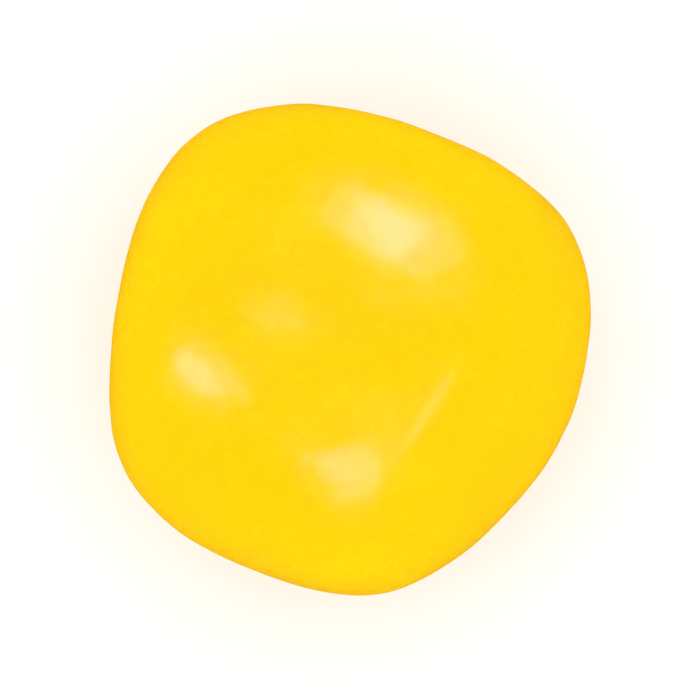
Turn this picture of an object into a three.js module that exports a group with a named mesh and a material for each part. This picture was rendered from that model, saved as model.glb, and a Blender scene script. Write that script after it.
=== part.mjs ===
// A chewy candy: one soft chew in a thin polished sugar shell. It was tumbled into a ball
// and pressed a little out of round in the drum before the shell had set.
// Millimetres, +Z up. The origin is the middle of the footprint, on the level of the flat
// spot that the candy rests on.

import { Group, IcosahedronGeometry, MathUtils, Mesh, MeshStandardMaterial, Vector3 } from "three";
import { mergeVertices } from "three/addons/utils/BufferGeometryUtils.js";

// ---- driving dimensions ----

const BALL_RADIUS = 8.6; // the round ball, before anything pressed on it
const RIDGE_CRISPNESS = 9; // the power of the blend: higher leaves sharper ridges between sides
const REST_DEPTH = 7.45; // from the ball's middle down to the flat spot
const MESH_CUTS = 17; // cuts along each edge of the icosahedron that the surface starts from

const SHELL_COLOUR = 0xfed60e; // warm lemon yellow
const SHELL_ROUGHNESS = 0.2;

// Each pressed side is a plane that faces along azimuth (degrees from +X towards +Y) and
// elevation (degrees above the horizon), at a distance from the ball's middle.
const PRESSED_SIDES = [
  // round the waist: these give the outline that is seen from above
  { azimuth: 70, elevation: -10, distance: 7.2 },
  { azimuth: 170, elevation: 0, distance: 8.1 },
  { azimuth: 250, elevation: 0, distance: 8.2 },
  { azimuth: 310, elevation: 0, distance: 7.75 },
  { azimuth: 350, elevation: -10, distance: 8.45 },
  // the shoulders and the crown: these shape the highlights
  { azimuth: 45, elevation: 55, distance: 7.6 },
  { azimuth: 140, elevation: 65, distance: 6.95 },
  { azimuth: 225, elevation: 50, distance: 8.0 },
  { azimuth: 300, elevation: 65, distance: 7.0 },
  { azimuth: 330, elevation: 35, distance: 6.35 },
  { azimuth: 10, elevation: 25, distance: 7.65 },
  { azimuth: 345, elevation: 85, distance: 6.45 },
  // underneath, with the broad base last
  { azimuth: 110, elevation: -45, distance: 8.1 },
  { azimuth: 185, elevation: -35, distance: 8.2 },
  { azimuth: 255, elevation: -50, distance: 8.0 },
  { azimuth: 330, elevation: -40, distance: 8.0 },
  { azimuth: 30, elevation: -55, distance: 8.2 },
  { azimuth: 0, elevation: -90, distance: 8.3 },
];

// Each dimple is a shallow round hollow, as deep as depth in its middle. Its wall fades out
// over spread, the angle in degrees that it takes up as seen from the ball's middle.
const DIMPLES = [
  { azimuth: 135, elevation: 65, depth: 0.2, spread: 14 },
  { azimuth: 25, elevation: 50, depth: 0.13, spread: 14 },
  { azimuth: 110, elevation: 5, depth: 0.14, spread: 12 },
  { azimuth: 215, elevation: -10, depth: 0.15, spread: 11 },
  { azimuth: 280, elevation: -15, depth: 0.18, spread: 13 },
  { azimuth: 20, elevation: -25, depth: 0.12, spread: 11 },
];

// ---- shape ----

/** The unit vector that faces along an azimuth and an elevation, in degrees. */
function facing({ azimuth, elevation }) {
  const polar = MathUtils.degToRad(90 - elevation);
  const turn = MathUtils.degToRad(azimuth);
  return new Vector3(Math.sin(polar) * Math.cos(turn), Math.sin(polar) * Math.sin(turn), Math.cos(polar));
}

const sides = PRESSED_SIDES.map((side) => ({ ...side, normal: facing(side) }));
const dimples = DIMPLES.map((dimple) => ({ ...dimple, centre: facing(dimple) }));

/**
 * How far the pressed ball reaches from its middle along a direction. Ball and planes are
 * blended by a power sum, so the nearest of them rules and the ridges between them are round.
 */
function pressedReach(direction) {
  let sum = (1 / BALL_RADIUS) ** RIDGE_CRISPNESS;
  for (const { normal, distance } of sides) {
    const towardsSide = Math.max(0, direction.dot(normal));
    sum += (towardsSide / distance) ** RIDGE_CRISPNESS;
  }
  return sum ** (-1 / RIDGE_CRISPNESS);
}

/** How deep the dimples are along a direction, together. */
function dimpleDepth(direction) {
  let depth = 0;
  for (const dimple of dimples) {
    const angle = MathUtils.radToDeg(direction.angleTo(dimple.centre));
    depth += dimple.depth * Math.exp(-((angle / dimple.spread) ** 2));
  }
  return depth;
}

/** How far the finished surface is from the ball's middle along a direction. */
function surfaceReach(direction) {
  const reach = pressedReach(direction) - dimpleDepth(direction);
  const pastRestSpot = reach * -direction.z > REST_DEPTH;
  return pastRestSpot ? REST_DEPTH / -direction.z : reach;
}

/** The candy's closed surface: an even ball of triangles with each corner moved to its reach. */
function candyGeometry() {
  const ball = new IcosahedronGeometry(1, MESH_CUTS);
  ball.deleteAttribute("normal");
  ball.deleteAttribute("uv");
  const geometry = mergeVertices(ball);
  const corners = geometry.getAttribute("position");
  const corner = new Vector3();
  for (let i = 0; i < corners.count; i += 1) {
    corner.fromBufferAttribute(corners, i).normalize();
    corner.multiplyScalar(surfaceReach(corner));
    corners.setXYZ(i, corner.x, corner.y, corner.z);
  }
  standOnOrigin(geometry);
  geometry.computeVertexNormals();
  return geometry;
}

/** Moves a geometry so that the middle of its footprint is at the origin, with its base at zero. */
function standOnOrigin(geometry) {
  geometry.computeBoundingBox();
  const { min, max } = geometry.boundingBox;
  geometry.translate(-(min.x + max.x) / 2, -(min.y + max.y) / 2, -min.z);
}

// ---- the part ----

const sugarShell = new MeshStandardMaterial({
  color: SHELL_COLOUR,
  roughness: SHELL_ROUGHNESS,
  metalness: 0,
});

const candy = new Mesh(candyGeometry(), sugarShell);
candy.name = "candy";

const part = new Group();
part.add(candy);

export default part;
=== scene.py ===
"""One chewy candy in a polished lemon-yellow sugar shell, seen from straight above.

The candy was tumbled into a ball and pressed a little out of round before its shell had set.
Its surface is worked out here on a fine grid, with the ripples and pits of a real sugar shell,
and it stands in for the plain candy solid. Sizes are in millimetres until a mesh is written,
and colours are linear.
"""

import logging
import math
from dataclasses import dataclass, field
from enum import Enum

import bpy
import numpy as np
from mathutils import Matrix, Vector


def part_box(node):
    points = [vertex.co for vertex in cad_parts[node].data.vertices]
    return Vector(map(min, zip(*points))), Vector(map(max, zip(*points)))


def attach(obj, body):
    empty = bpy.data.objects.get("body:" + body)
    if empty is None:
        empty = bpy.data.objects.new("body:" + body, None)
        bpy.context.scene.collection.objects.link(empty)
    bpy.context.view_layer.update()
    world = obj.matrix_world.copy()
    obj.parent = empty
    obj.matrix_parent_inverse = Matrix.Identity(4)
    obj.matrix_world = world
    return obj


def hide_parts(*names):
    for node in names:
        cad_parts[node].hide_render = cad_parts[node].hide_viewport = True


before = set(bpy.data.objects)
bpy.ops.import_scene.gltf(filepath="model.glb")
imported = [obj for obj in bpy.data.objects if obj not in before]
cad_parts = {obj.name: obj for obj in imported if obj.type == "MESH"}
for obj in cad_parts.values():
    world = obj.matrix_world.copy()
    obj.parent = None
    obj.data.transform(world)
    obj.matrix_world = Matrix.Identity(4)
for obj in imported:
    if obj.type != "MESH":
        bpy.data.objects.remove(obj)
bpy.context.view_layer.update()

LOG = logging.getLogger("candy")
MILLIMETRE = 0.001  # in metres

Colour = tuple[float, float, float]
Range = tuple[float, float]
Socket = bpy.types.NodeSocket


def facing(azimuth: float, elevation: float) -> np.ndarray:
    """The unit vector along an azimuth and an elevation.

    In words: the elevation's cosine is shared between X and Y by the azimuth's cosine and
    sine, and the elevation's sine is Z.

    Args:
        azimuth: degrees from +X towards +Y.
        elevation: degrees above the horizon.

    Returns:
        The vector as an array of three.
    """
    turn, rise = math.radians(azimuth), math.radians(elevation)
    level = math.cos(rise)
    return np.array([level * math.cos(turn), level * math.sin(turn), math.sin(rise)])


def even_scatter(count: int, draw: np.random.Generator) -> np.ndarray:
    """Random directions, even over the sphere: normal draws of X, Y and Z made length one."""
    ways = draw.normal(size=(count, 3))
    return ways / np.linalg.norm(ways, axis=1, keepdims=True)


# ---- the candy's form ----


@dataclass(frozen=True)
class PressedSide:
    """A plane that pressed the ball flat while it was soft, in degrees and millimetres."""

    azimuth: float
    elevation: float
    distance: float


@dataclass(frozen=True)
class Dimple:
    """A shallow round hollow: where it is, how deep, and how wide as an angle in degrees."""

    azimuth: float
    elevation: float
    depth: float
    spread: float


@dataclass
class CandyForm:
    """The candy's main form, as a reach from the ball's middle along any direction."""

    ball_radius: float = 8.6  # the round ball, before anything pressed on it
    ridge_crispness: float = 9.0  # the power of the blend: higher leaves sharper ridges
    rest_depth: float = 7.45  # from the ball's middle down to the flat spot
    least_drop: float = 1e-9  # for the directions that never go down to the rest level
    sides: tuple[PressedSide, ...] = (
        # round the waist, for the outline seen from above
        PressedSide(70, -10, 7.2),
        PressedSide(170, 0, 8.1),
        PressedSide(250, 0, 8.2),
        PressedSide(310, 0, 7.75),
        PressedSide(350, -10, 8.45),
        # the shoulders and the crown, for the highlights
        PressedSide(45, 55, 7.6),
        PressedSide(140, 65, 6.95),
        PressedSide(225, 50, 8.0),
        PressedSide(300, 65, 7.0),
        PressedSide(330, 35, 6.35),
        PressedSide(10, 25, 7.65),
        PressedSide(345, 85, 6.45),
        # underneath, with the broad base last
        PressedSide(110, -45, 8.1),
        PressedSide(185, -35, 8.2),
        PressedSide(255, -50, 8.0),
        PressedSide(330, -40, 8.0),
        PressedSide(30, -55, 8.2),
        PressedSide(0, -90, 8.3),
    )
    dimples: tuple[Dimple, ...] = (
        Dimple(135, 65, 0.2, 14),
        Dimple(25, 50, 0.13, 14),
        Dimple(110, 5, 0.14, 12),
        Dimple(215, -10, 0.15, 11),
        Dimple(280, -15, 0.18, 13),
        Dimple(20, -25, 0.12, 11),
    )

    def reach(self, directions: np.ndarray) -> np.ndarray:
        """How far the surface is from the ball's middle along each direction.

        In words: ball and planes are blended by a power sum of one over their distances,
        the dimples are taken off, and what would pass the rest level is cut at it.

        Args:
            directions: unit vectors, one a row.

        Returns:
            The reach of each row in millimetres.
        """
        shaped = self._pressed(directions) - self._dimpled(directions)
        downward = np.maximum(-directions[:, 2], self.least_drop)
        return np.minimum(shaped, self.rest_depth / downward)

    def _pressed(self, directions: np.ndarray) -> np.ndarray:
        """The reach of the ball pressed by its sides, with round ridges between them.

        In words: one over the ball's radius, and for each side that the direction leans
        towards the lean's cosine over its distance, are raised to the power and summed. One
        over the reach is that sum's root.

        Args:
            directions: unit vectors, one a row.

        Returns:
            The reach of each row in millimetres.
        """
        power = self.ridge_crispness
        normals = np.array([facing(side.azimuth, side.elevation) for side in self.sides])
        distances = np.array([side.distance for side in self.sides])
        towards = np.maximum(directions @ normals.T, 0.0) / distances
        total = (towards**power).sum(axis=1) + (1.0 / self.ball_radius) ** power
        return total ** (-1.0 / power)

    def _dimpled(self, directions: np.ndarray) -> np.ndarray:
        """The dimples' depth: a bell of the angle from the middle of each one, summed.

        Args:
            directions: unit vectors, one a row.

        Returns:
            The depth of each row in millimetres.
        """
        middles = np.array([facing(dimple.azimuth, dimple.elevation) for dimple in self.dimples])
        depths = np.array([dimple.depth for dimple in self.dimples])
        spreads = np.radians([dimple.spread for dimple in self.dimples])
        angles = np.arccos(np.clip(directions @ middles.T, -1.0, 1.0))
        return (depths * np.exp(-((angles / spreads) ** 2))).sum(axis=1)


# ---- the sugar shell's fine relief ----


@dataclass(frozen=True)
class Ripples:
    """Waves of about one size in the shell, left by the tumbling: how long and how high."""

    wavelength: float
    height: float
    waves: int = 48
    unevenness: Range = (0.8, 1.25)  # the shortest and longest wave, as shares of wavelength

    def swell(self, points: np.ndarray, draw: np.random.Generator) -> np.ndarray:
        """The ripples' height at each point.

        In words: a sum of sine waves that run in random directions at random phases, with
        lengths near the wavelength, scaled so that the sum's usual size is the height.

        Args:
            points: places in millimetres, one a row.
            draw: where the random numbers come from.

        Returns:
            The height of each row in millimetres, above or below zero.
        """
        headings = even_scatter(self.waves, draw)
        lengths = self.wavelength * draw.uniform(*self.unevenness, self.waves)
        phases = draw.uniform(0.0, 2.0 * math.pi, self.waves)
        wave_numbers = headings * (2.0 * math.pi / lengths)[:, None]
        swing = np.sin(points @ wave_numbers.T + phases).sum(axis=1)
        return self.height * math.sqrt(2.0 / self.waves) * swing


@dataclass
class ShellRelief:
    """The fine relief of a tumbled sugar shell: soft ripples of a few sizes, and small pits."""

    ripples: tuple[Ripples, ...] = (
        Ripples(wavelength=3.4, height=0.013),
        Ripples(wavelength=1.6, height=0.004),
        Ripples(wavelength=0.8, height=0.0015),
        Ripples(wavelength=0.42, height=0.0004),
    )
    pit_count: int = 90
    pit_width: Range = (0.10, 0.22)
    pit_depth: Range = (0.002, 0.007)
    seed: int = 20

    def height(self, points: np.ndarray) -> np.ndarray:
        """How far the surface lies outside the main form at each point.

        In words: the ripples of all sizes are summed, and each pit takes off a bell of the
        distance from its middle.

        Args:
            points: the main form's points in millimetres, one a row.

        Returns:
            The height of each row in millimetres, below zero where the surface lies inside.
        """
        draw = np.random.default_rng(self.seed)
        swell = sum(ripple.swell(points, draw) for ripple in self.ripples)
        return swell - self._pitted(points, draw)

    def _pitted(self, points: np.ndarray, draw: np.random.Generator) -> np.ndarray:
        """The pits' depth at each point, for an even scatter of pits over the surface.

        In words: a pit's depth times a bell of the distance from its middle over its width. The
        distance is the chord between the two directions, times the point's own reach.

        Args:
            points: the main form's points in millimetres, one a row.
            draw: where the random numbers come from.

        Returns:
            The depth of each row in millimetres.
        """
        middles = even_scatter(self.pit_count, draw)
        widths = draw.uniform(*self.pit_width, self.pit_count)
        depths = draw.uniform(*self.pit_depth, self.pit_count)
        out = np.linalg.norm(points, axis=1, keepdims=True)
        apart = out * np.sqrt(np.maximum(2.0 - 2.0 * (points / out) @ middles.T, 0.0))
        return (depths * np.exp(-((apart / widths) ** 2))).sum(axis=1)


# ---- the even grid that carries the surface ----


class CubeFace(Enum):
    """The six faces of a cube, each as an axis and a side of it."""

    RIGHT = (0, 1)
    LEFT = (0, -1)
    FAR = (1, 1)
    NEAR = (1, -1)
    TOP = (2, 1)
    UNDER = (2, -1)


@dataclass
class CubeSphere:
    """An even grid of squares over a sphere, with no poles: six faces of a cube, blown round."""

    cuts: int = 120  # squares along each edge of a face
    decimals: int = 7  # points that agree so far are one point

    def grid(self) -> tuple[np.ndarray, np.ndarray]:
        """The grid's directions and its squares.

        In words: each cube face is a grid of two parameters, the tangents of even angles so
        that the squares come out alike, and each of its points is drawn to length one. Points
        that two faces share are merged.

        Returns:
            Unit vectors, one a row, and the four corner numbers of each square, seen
            counter-clockwise from outside.
        """
        points = np.concatenate([self._face(face) for face in CubeFace])
        corners = (self.cuts + 1) ** 2
        one_face = self._squares()
        squares = np.concatenate([one_face + place * corners for place in range(len(CubeFace))])
        _, kept, merged = np.unique(
            np.round(points, self.decimals), axis=0, return_index=True, return_inverse=True
        )
        return points[kept], merged.reshape(-1)[squares]

    def _face(self, face: CubeFace) -> np.ndarray:
        """One cube face's grid points, drawn to length one.

        Args:
            face: which face of the cube.

        Returns:
            Unit vectors, one a row, in rows across the face.
        """
        axis, side = face.value
        steps = np.tan(np.linspace(-math.pi / 4.0, math.pi / 4.0, self.cuts + 1))
        across, along = np.meshgrid(steps, steps, indexing="ij")
        points = np.empty((across.size, 3))
        points[:, axis] = side
        points[:, (axis + 1) % 3] = across.ravel() * side
        points[:, (axis + 2) % 3] = along.ravel()
        return points / np.linalg.norm(points, axis=1, keepdims=True)

    def _squares(self) -> np.ndarray:
        """The squares of one face.

        Returns:
            The four corner numbers of each square, counter-clockwise from outside.
        """
        number = np.arange((self.cuts + 1) ** 2).reshape(self.cuts + 1, self.cuts + 1)
        corners = [number[:-1, :-1], number[1:, :-1], number[1:, 1:], number[:-1, 1:]]
        return np.stack(corners, axis=-1).reshape(-1, 4)


# ---- the finishes ----


class NodeMaker:
    """Adds and joins the shader nodes of one material or surround, a line each."""

    def __init__(self, owner: bpy.types.Material | bpy.types.World) -> None:
        """Starts the owner's nodes afresh.

        Args:
            owner: the material or surround that the nodes belong to.
        """
        owner.use_nodes = True
        self.tree = owner.node_tree
        self.tree.nodes.clear()

    def add(self, kind: str, **settings: object) -> bpy.types.Node:
        """A new shader node.

        Args:
            kind: the node's type name, without the ShaderNode in front.
            settings: the node's own properties by name.

        Returns:
            The node.
        """
        node = self.tree.nodes.new(f"ShaderNode{kind}")
        for name, value in settings.items():
            setattr(node, name, value)
        return node

    def join(self, output: Socket, target: Socket) -> None:
        """Joins one node's output to another's input."""
        self.tree.links.new(output, target)

    def noise(self, size: float, detail: float) -> Socket:
        """A soft noise from 0 to 1 in the candy's own space.

        Args:
            size: how wide its lumps are, in millimetres.
            detail: how many finer layers are added to it.

        Returns:
            The noise.
        """
        noise = self.add("TexNoise")
        noise.inputs["Scale"].default_value = 1.0 / (size * MILLIMETRE)
        noise.inputs["Detail"].default_value = detail
        self.join(self.add("TexCoord").outputs["Object"], noise.inputs["Vector"])
        return noise.outputs["Fac"]

    def ranged(self, value: Socket, source: Range, target: Range) -> Socket:
        """A value stretched from one range to another.

        Args:
            value: the value.
            source: its lowest and highest that count.
            target: what those become.

        Returns:
            The stretched value, held within the target range.
        """
        stretch = self.add("MapRange")
        ends = zip(("From Min", "From Max", "To Min", "To Max"), (*source, *target))
        for name, end in ends:
            stretch.inputs[name].default_value = end
        self.join(value, stretch.inputs["Value"])
        return stretch.outputs["Result"]

    def blended(self, factor: Socket, first: Socket | Colour, second: Socket | Colour) -> Socket:
        """A colour between two, each a colour or where one comes from.

        Args:
            factor: 0 for the first colour and 1 for the second.
            first: the first colour.
            second: the second colour.

        Returns:
            The colour.
        """
        blend = self.add("Mix", data_type="RGBA")
        self.join(factor, blend.inputs["Factor"])
        for end, colour in ((blend.inputs["A"], first), (blend.inputs["B"], second)):
            if isinstance(colour, tuple):
                end.default_value = (*colour, 1.0)
            else:
                self.join(colour, end)
        return blend.outputs["Result"]


@dataclass(frozen=True)
class SugarShell:
    """The finish of the candy: lemon-yellow sugar, polished, that lets light in a little way.

    Sizes and depths are in millimetres. The edges are where a noise starts and ends to count.
    """

    name: str = "sugar_shell"
    lemon: Colour = (0.98, 0.64, 0.003)
    golden: Colour = (0.98, 0.62, 0.003)
    cloud_size: float = 2.6
    cloud_edges: Range = (0.35, 0.65)
    cloud_detail: float = 2.0
    pale: Colour = (0.99, 0.71, 0.015)
    fleck_size: float = 0.32
    fleck_edges: Range = (0.5, 0.75)
    fleck_strength: float = 0.3
    fine_detail: float = 1.0  # of the flecks and the grain
    glow_depth: float = 1.2
    glow_colour: Colour = (1.0, 0.55, 0.08)
    roughness: Range = (0.20, 0.28)
    grain_size: float = 0.22
    grain_height: float = 0.001
    polish: float = 0.35
    polish_roughness: float = 0.15
    index: float = 1.5  # how strongly sugar bends light

    def material(self) -> bpy.types.Material:
        """Makes the shell's material.

        Returns:
            The finished node material.
        """
        shell = bpy.data.materials.new(self.name)
        make = NodeMaker(shell)
        shader = make.add("BsdfPrincipled")
        self._set_constants(shader)
        lumps = make.noise(self.cloud_size, self.cloud_detail)
        cloud = make.ranged(lumps, self.cloud_edges, (0.0, 1.0))
        make.join(self._colour(make, cloud), shader.inputs["Base Color"])
        make.join(make.ranged(cloud, (0.0, 1.0), self.roughness), shader.inputs["Roughness"])
        make.join(self._grain(make), shader.inputs["Normal"])
        make.join(shader.outputs["BSDF"], make.add("OutputMaterial").inputs["Surface"])
        return shell

    def _set_constants(self, shader: bpy.types.Node) -> None:
        """Sets the numbers that are the same all over the shell.

        Args:
            shader: the shell's main shader.
        """
        shader.inputs["IOR"].default_value = self.index
        shader.inputs["Subsurface Weight"].default_value = 1.0
        shader.inputs["Subsurface Radius"].default_value = self.glow_colour
        shader.inputs["Subsurface Scale"].default_value = self.glow_depth * MILLIMETRE
        shader.inputs["Coat Weight"].default_value = self.polish
        shader.inputs["Coat Roughness"].default_value = self.polish_roughness
        shader.inputs["Coat IOR"].default_value = self.index

    def _colour(self, make: NodeMaker, cloud: Socket) -> Socket:
        """Lemon and golden clouds, with faint paler flecks of sugar in them.

        Args:
            make: adds the nodes to the shell.
            cloud: 0 where the shell is golden and 1 where it is lemon.

        Returns:
            The colour.
        """
        specks = make.noise(self.fleck_size, self.fine_detail)
        flecks = make.ranged(specks, self.fleck_edges, (0.0, self.fleck_strength))
        return make.blended(flecks, make.blended(cloud, self.golden, self.lemon), self.pale)

    def _grain(self, make: NodeMaker) -> Socket:
        """The finest unevenness of the glaze, as a bump.

        Args:
            make: adds the nodes to the shell.

        Returns:
            The direction that the bumped surface faces.
        """
        bump = make.add("Bump")
        bump.inputs["Distance"].default_value = self.grain_height * MILLIMETRE
        make.join(make.noise(self.grain_size, self.fine_detail), bump.inputs["Height"])
        return bump.outputs["Normal"]


@dataclass(frozen=True)
class FloorPaper:
    """Pale matt paper. The candy sees it warmer than the camera does: a painted warm reflection in
    its polish, and painted warm bounce light in the light that it sends up, so that the shaded side
    turns golden instead of olive.
    """

    name: str = "floor_paper"
    pale: Colour = (0.90, 0.98, 1.0)
    # painted reflection: the warm colour that the candy's polish shows in place of the pale paper
    mirrored: Colour = (0.65, 0.42, 0.02)
    # painted bounce light: the warm colour that lights the candy's shaded side from below
    bounced: Colour = (0.98, 0.70, 0.25)

    def material(self) -> bpy.types.Material:
        """Makes the paper's material.

        Returns:
            The finished node material.
        """
        paper = bpy.data.materials.new(self.name)
        make = NodeMaker(paper)
        ray = make.add("LightPath").outputs
        # glossy rays get the painted reflection, other rays the painted bounce light; the camera
        # sees the pale paper
        warm = make.blended(ray["Is Glossy Ray"], self.bounced, self.mirrored)
        matt = make.add("BsdfDiffuse")
        make.join(make.blended(ray["Is Camera Ray"], warm, self.pale), matt.inputs["Color"])
        make.join(matt.outputs["BSDF"], make.add("OutputMaterial").inputs["Surface"])
        return paper


@dataclass(frozen=True)
class HorizonGlow:
    """A warm glow, strongest at the floor and gone at its top, which is in millimetres. It is a
    painted reflection: the wall glows only for the candy's polish.
    """

    name: str = "horizon_glow"
    # the colour of the painted warm reflection on the candy's rim
    colour: Colour = (1.0, 0.46, 0.02)
    strength: float = 0.95
    top: float = 1400.0

    def material(self) -> bpy.types.Material:
        """Makes the glow's material.

        Returns:
            The finished node material.
        """
        glow = bpy.data.materials.new(self.name)
        make = NodeMaker(glow)
        place = make.add("SeparateXYZ")
        make.join(make.add("TexCoord").outputs["Object"], place.inputs["Vector"])
        light = make.add("Emission")
        light.inputs["Color"].default_value = (*self.colour, 1.0)
        fading = make.ranged(place.outputs["Z"], (0.0, self.top * MILLIMETRE), (self.strength, 0.0))
        make.join(fading, light.inputs["Strength"])
        make.join(light.outputs["Emission"], make.add("OutputMaterial").inputs["Surface"])
        return glow


@dataclass(frozen=True)
class SoftSurround:
    """An even white surround that lights the candy from all round and isn't mirrored in it."""

    name: str = "soft_surround"
    strength: float = 1.22
    colour: Colour = (1.0, 1.0, 1.0)

    def world(self) -> bpy.types.World:
        """Makes the surround.

        Returns:
            The finished surround.
        """
        world = bpy.data.worlds.new(self.name)
        make = NodeMaker(world)
        glow = make.add("Background")
        glow.inputs["Color"].default_value = (*self.colour, 1.0)
        glow.inputs["Strength"].default_value = self.strength
        make.join(glow.outputs["Background"], make.add("OutputWorld").inputs["Surface"])
        world.cycles_visibility.glossy = False
        return world


# ---- the candy ----


@dataclass
class Candy:
    """The whole candy as one closed piece: its form, its relief and its finish."""

    name: str = "candy_shell"
    form: CandyForm = field(default_factory=CandyForm)
    relief: ShellRelief = field(default_factory=ShellRelief)
    relief_fade: float = 0.5  # how high above the flat spot the relief is whole
    sphere: CubeSphere = field(default_factory=CubeSphere)
    finish: SugarShell = field(default_factory=SugarShell)

    def build(self) -> bpy.types.Object:
        """Makes the candy's mesh where its solid stands, and dresses it.

        Returns:
            The finished piece.
        """
        directions, squares = self.sphere.grid()
        points = self._surface(directions)
        mesh = bpy.data.meshes.new(self.name)
        mesh.from_pydata((points * MILLIMETRE).tolist(), [], squares.tolist())
        mesh.polygons.foreach_set("use_smooth", np.ones(len(squares), dtype=bool))
        mesh.update()
        piece = bpy.data.objects.new(self.name, mesh)
        bpy.context.scene.collection.objects.link(piece)
        self._dress(piece)
        LOG.info("%s: %d points and %d squares", self.name, len(points), len(squares))
        return piece

    def _surface(self, directions: np.ndarray) -> np.ndarray:
        """The surface's points in the frame.

        In words: each direction times its reach, with the relief added to it as it rises from
        the flat spot, and moved so that the main form's box has the solid's middle and base.

        Args:
            directions: unit vectors, one a row.

        Returns:
            The points in millimetres, one a row.
        """
        main = directions * self.form.reach(directions)[:, None]
        above_base = main[:, 2] + self.form.rest_depth
        fade = np.clip(above_base / self.relief_fade, 0.0, 1.0)
        fine = main + directions * (self.relief.height(main) * fade)[:, None]
        low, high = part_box("candy")
        stand = np.array([low.x + high.x, low.y + high.y, 2.0 * low.z]) / (2.0 * MILLIMETRE)
        middle = (main.min(axis=0) + main.max(axis=0)) / 2.0
        middle[2] = -self.form.rest_depth
        return fine + stand - middle

    def _dress(self, piece: bpy.types.Object) -> None:
        """Gives the piece its finish, hides the candy solid, and hangs the piece under the root
        body.

        Args:
            piece: the candy's object.
        """
        piece.data.materials.append(self.finish.material())
        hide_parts("candy")
        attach(piece, "root")


# ---- the studio ----


@dataclass(frozen=True)
class Softbox:
    """A soft oval light that faces the candy and shows as a highlight in its polish.

    Azimuth and elevation say where it hangs as seen from the candy, and heading is the azimuth
    that its width runs along, all in degrees. Width, height and distance are in millimetres.
    """

    name: str
    azimuth: float
    elevation: float
    heading: float
    width: float
    height: float
    brightness: float
    distance: float = 300.0
    tint: Colour = (1.0, 0.52, 1.0)  # short of green, so that highlights come out cream

    def build(self, target: Vector) -> bpy.types.Object:
        """Hangs the light at its distance from the target, facing it.

        In words: its energy is its brightness times pi times its width and its height.

        Args:
            target: the point that it faces, in metres.

        Returns:
            The light.
        """
        lamp = bpy.data.lights.new(self.name, "AREA")
        lamp.shape = "ELLIPSE"
        lamp.size = self.width * MILLIMETRE
        lamp.size_y = self.height * MILLIMETRE
        lamp.color = self.tint
        lamp.energy = self.brightness * math.pi * lamp.size * lamp.size_y
        light = bpy.data.objects.new(self.name, lamp)
        light.matrix_world = self._hung(target)
        light.visible_camera = False
        light.visible_diffuse = False
        bpy.context.scene.collection.objects.link(light)
        return light

    def _hung(self, target: Vector) -> Matrix:
        """The light's place, with Z away from the target and X along the width.

        Args:
            target: the point that it faces, in metres.

        Returns:
            The place and turn as a matrix.
        """
        away = Vector(facing(self.azimuth, self.elevation))
        along = Vector(facing(self.heading, 0.0))
        along = (along - away * along.dot(away)).normalized()
        turn = Matrix((along, away.cross(along), away)).transposed().to_4x4()
        return Matrix.Translation(target + away * self.distance * MILLIMETRE) @ turn


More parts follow.
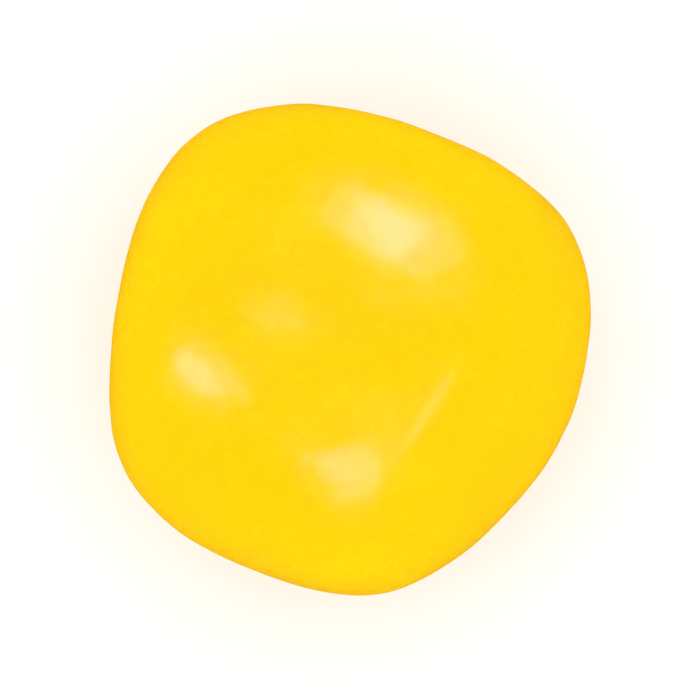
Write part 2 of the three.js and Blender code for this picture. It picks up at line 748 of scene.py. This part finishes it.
@dataclass
class Studio:
    """The plain pale floor, the soft lights, the even surround and the camera."""

    softboxes: tuple[Softbox, ...] = (
        Softbox("key_softbox", 60, 54, -5, 410, 155, 1.25),
        Softbox("key_middle", 65, 56, 5, 185, 125, 3.6),
        Softbox("left_softbox", 184, 40.5, -40, 120, 90, 4.1),
        Softbox("low_softbox", 292, 49, -35, 185, 75, 2.7),
        Softbox("small_window", 324, 35, 60, 85, 30, 1.75),
        Softbox("faint_panel", 186, 57, 45, 65, 145, 1.3),
    )
    floor_side: float = 3000.0
    paper: FloorPaper = field(default_factory=FloorPaper)
    horizon_radius: float = 1400.0
    horizon_steps: int = 96
    horizon: HorizonGlow = field(default_factory=HorizonGlow)
    surround: SoftSurround = field(default_factory=SoftSurround)
    lens: float = 600.0
    candy_share: float = 0.7  # how much of the picture's width the candy takes up

    def build(self) -> None:
        """Makes everything round the candy."""
        low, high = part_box("candy")
        middle = (low + high) / 2.0
        self._floor(low.z)
        self._horizon(low.z)
        bpy.context.scene.world = self.surround.world()
        for softbox in self.softboxes:
            softbox.build(middle)
        self._camera(middle, max(high.x - low.x, high.y - low.y))
        self._plain_colours()
        LOG.info("studio: %d lights over a pale floor", len(self.softboxes))

    def _floor(self, level: float) -> None:
        """Lays a square of pale paper under the candy.

        Args:
            level: the floor's height in metres.
        """
        half = self.floor_side * MILLIMETRE / 2.0
        ends = ((-half, -half), (half, -half), (half, half), (-half, half))
        mesh = bpy.data.meshes.new("floor")
        mesh.from_pydata([(x, y, level) for x, y in ends], [], [(0, 1, 2, 3)])
        mesh.materials.append(self.paper.material())
        floor = bpy.data.objects.new("floor", mesh)
        bpy.context.scene.collection.objects.link(floor)

    def _horizon(self, level: float) -> None:
        """Stands a round glowing wall on the floor that only the shell's polish sees, a painted
        warm reflection that keeps the candy's rim from turning olive.

        In words: a ring of even angles is repeated at the floor and at the glow's top, and
        each step round it is joined to the next by a square.

        Args:
            level: the floor's height in metres.
        """
        steps = self.horizon_steps
        turn = np.linspace(0.0, 2.0 * math.pi, steps, endpoint=False)
        ring = np.stack([np.cos(turn), np.sin(turn)], axis=1) * self.horizon_radius * MILLIMETRE
        heights = np.repeat([level, level + self.horizon.top * MILLIMETRE], steps)
        points = np.column_stack([np.tile(ring, (2, 1)), heights])
        here = np.arange(steps)
        after = np.roll(here, -1)
        squares = np.stack([here, here + steps, after + steps, after], axis=1)
        mesh = bpy.data.meshes.new("horizon")
        mesh.from_pydata(points.tolist(), [], squares.tolist())
        mesh.materials.append(self.horizon.material())
        wall = bpy.data.objects.new("horizon", mesh)
        # seen only in the polish, as a painted reflection
        wall.visible_camera = wall.visible_diffuse = wall.visible_shadow = False
        bpy.context.scene.collection.objects.link(wall)

    def _camera(self, middle: Vector, candy_width: float) -> None:
        """Puts the camera straight above the candy, with +X to the right and +Y up.

        In words: it stands as far off as makes the candy's width its share of the picture.

        Args:
            middle: the middle of the candy, in metres.
            candy_width: the longer side of its box seen from above, in metres.
        """
        data = bpy.data.cameras.new("overhead")
        data.lens = self.lens
        camera = bpy.data.objects.new("overhead", data)
        away = candy_width / self.candy_share * data.lens / data.sensor_width
        camera.location = middle + Vector((0.0, 0.0, away))
        bpy.context.scene.collection.objects.link(camera)
        bpy.context.scene.camera = camera

    @staticmethod
    def _plain_colours() -> None:
        """Shows colours as they are, so that the yellow stays full."""
        view = bpy.context.scene.view_settings
        view.view_transform = "Standard"
        view.look = "None"


# ---- the scene ----


def write_sizes() -> None:
    """Brings the view layer up to date."""
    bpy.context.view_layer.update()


def main() -> None:
    """Builds the candy and the studio round it, in order."""
    logging.basicConfig(level=logging.INFO, format="%(name)s: %(message)s")
    Candy().build()
    Studio().build()
    write_sizes()


if __name__ == "__main__":
    main()
